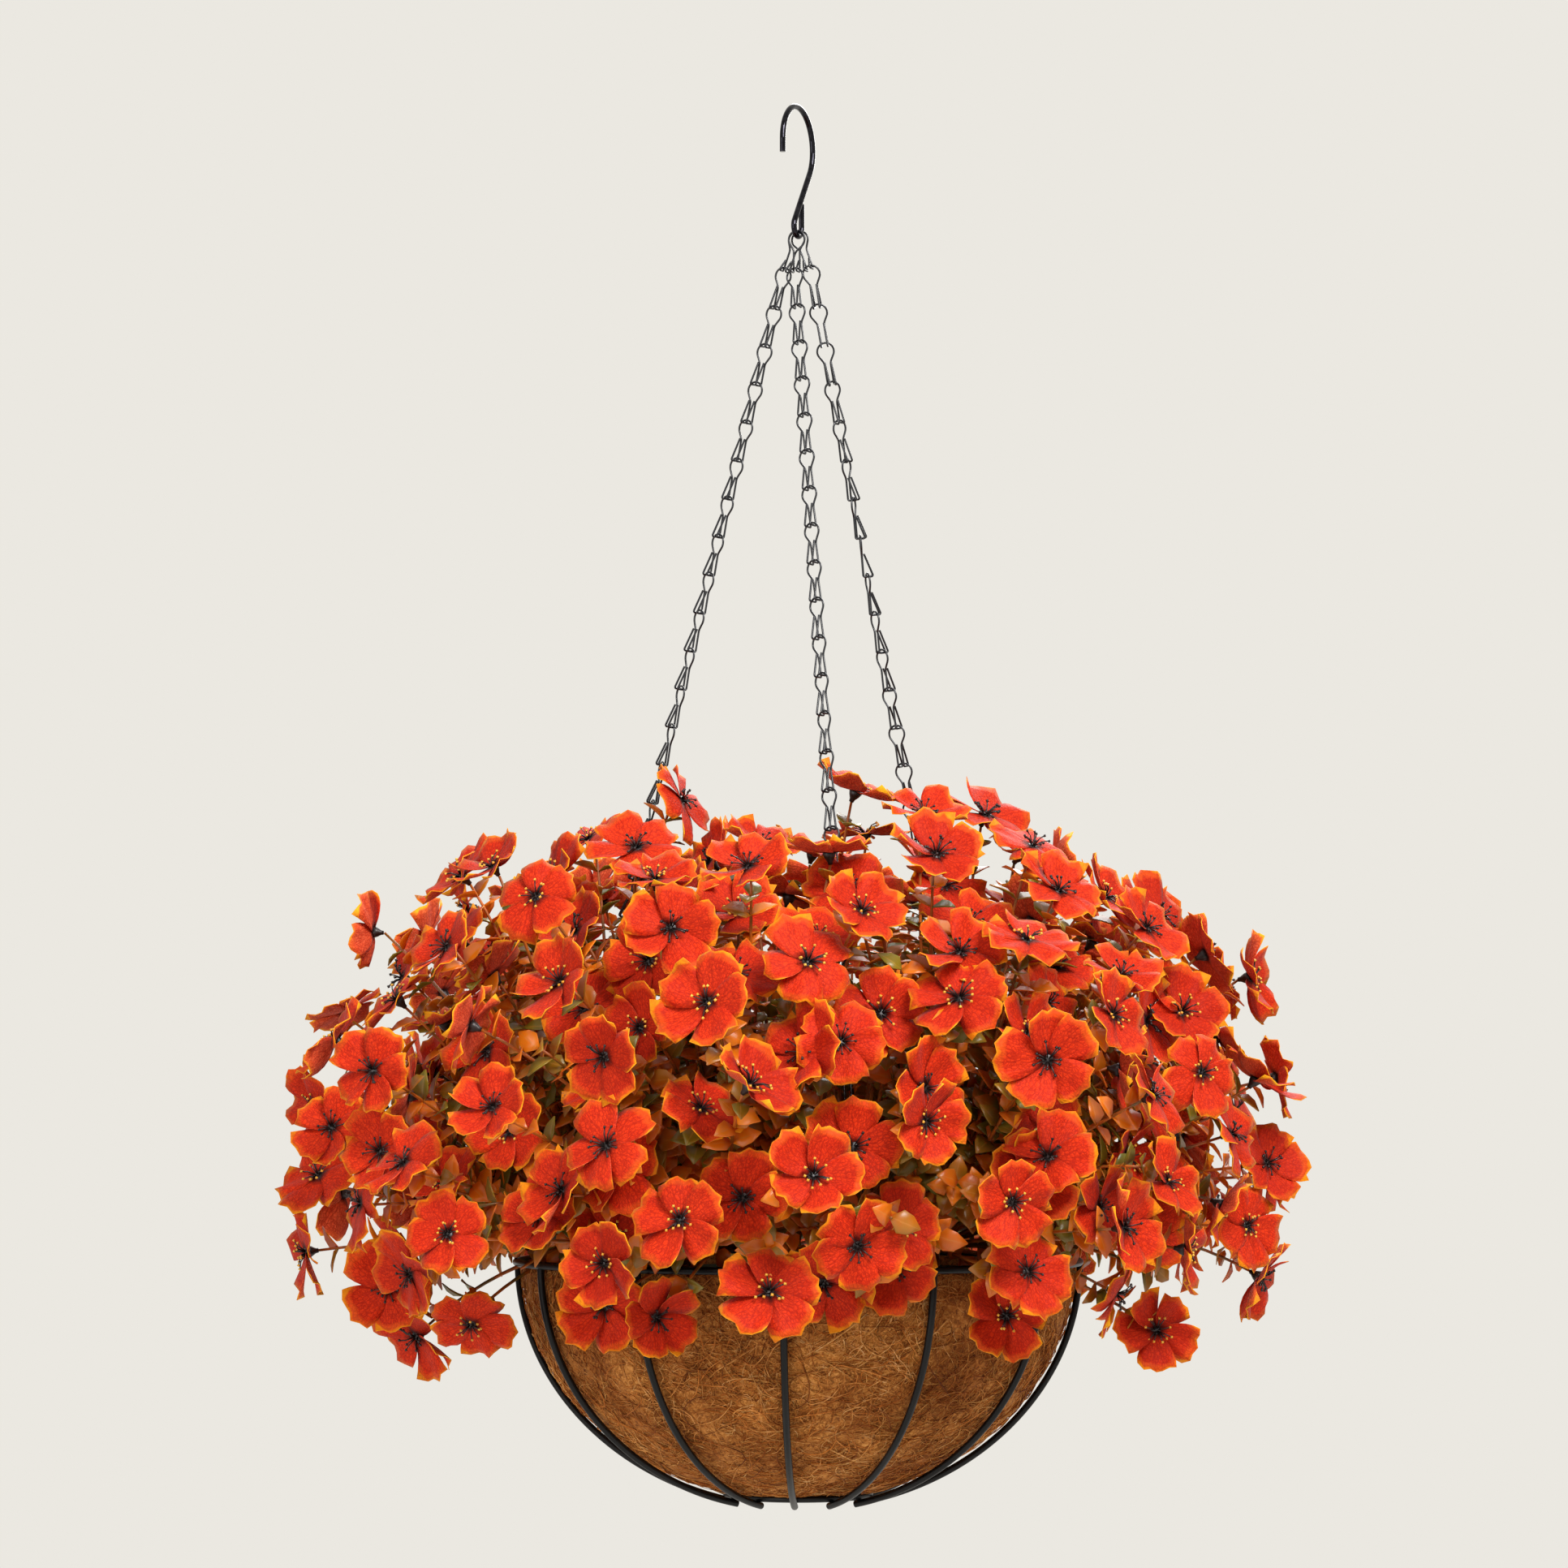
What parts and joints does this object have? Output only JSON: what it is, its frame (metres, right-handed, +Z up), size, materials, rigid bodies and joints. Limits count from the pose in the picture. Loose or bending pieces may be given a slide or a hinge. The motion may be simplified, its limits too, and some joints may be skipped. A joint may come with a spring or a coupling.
{
  "type": "hanging basket",
  "caption": "Wire bowl with a coconut-fibre liner and a dome of artificial flowers, hung on three wire-link chains from an S-hook.",
  "frame": {"origin": "the point inside the top of the hook's upper bow that bears on a ceiling hook or bracket", "axes": "+Z up along the hanging line; the hook is bent in the YZ plane, with its upper bow open towards -Y"},
  "size_m": [0.536, 0.536, 0.7559],
  "materials": {
    "hook_wire": "dark plated steel wire, glossy",
    "chain_wire": "black enamelled steel wire",
    "frame_wire": "black powder-coated steel wire",
    "coir": "matted coconut fibre",
    "foam": "dark green dry foam",
    "stem_plastic": "brown-orange moulded plastic",
    "petal_cloth": "printed coral petal cloth with yellow edges",
    "leaf_plastic": "thin moulded plastic leaves, olive to rust"
  },
  "bodies": {
    "hook": {"s_hook": "hook_wire"},
    "top_links": {"top_link_left": "chain_wire", "top_link_front": "chain_wire", "top_link_right": "chain_wire"},
    "basket": {"chain_left": "chain_wire", "chain_front": "chain_wire", "chain_right": "chain_wire", "rim_hook_left": "chain_wire", "rim_hook_front": "chain_wire", "rim_hook_right": "chain_wire", "rim_ring": "frame_wire", "rib_01": "frame_wire", "rib_02": "frame_wire", "rib_03": "frame_wire", "rib_04": "frame_wire", "rib_05": "frame_wire", "rib_06": "frame_wire", "rib_07": "frame_wire", "rib_08": "frame_wire", "rib_09": "frame_wire", "rib_10": "frame_wire", "rib_11": "frame_wire", "rib_12": "frame_wire", "bottom_ring": "frame_wire", "coir_liner": "coir", "foam_block": "foam", "stake_centre": "stem_plastic", "stake_1": "stem_plastic", "stake_2": "stem_plastic", "stake_3": "stem_plastic", "stake_4": "stem_plastic", "stake_5": "stem_plastic", "stake_6": "stem_plastic", "bush_centre": "petal_cloth", "bush_1": "petal_cloth", "bush_2": "petal_cloth", "bush_3": "petal_cloth", "bush_4": "petal_cloth", "bush_5": "petal_cloth", "bush_6": "petal_cloth"}
  },
  "joints": [
    {"name": "side_swing", "type": "hinge", "parent": "hook", "child": "top_links", "pos_m": [0, 0, -0.0694], "axis": [0, 1, 0], "range_deg": [-20, 20]},
    {"name": "fore_aft_swing", "type": "hinge", "parent": "top_links", "child": "basket", "pos_m": [0, -0.0022, -0.08712], "axis": [1, 0, 0], "range_deg": [-10, 10]}
  ]
}
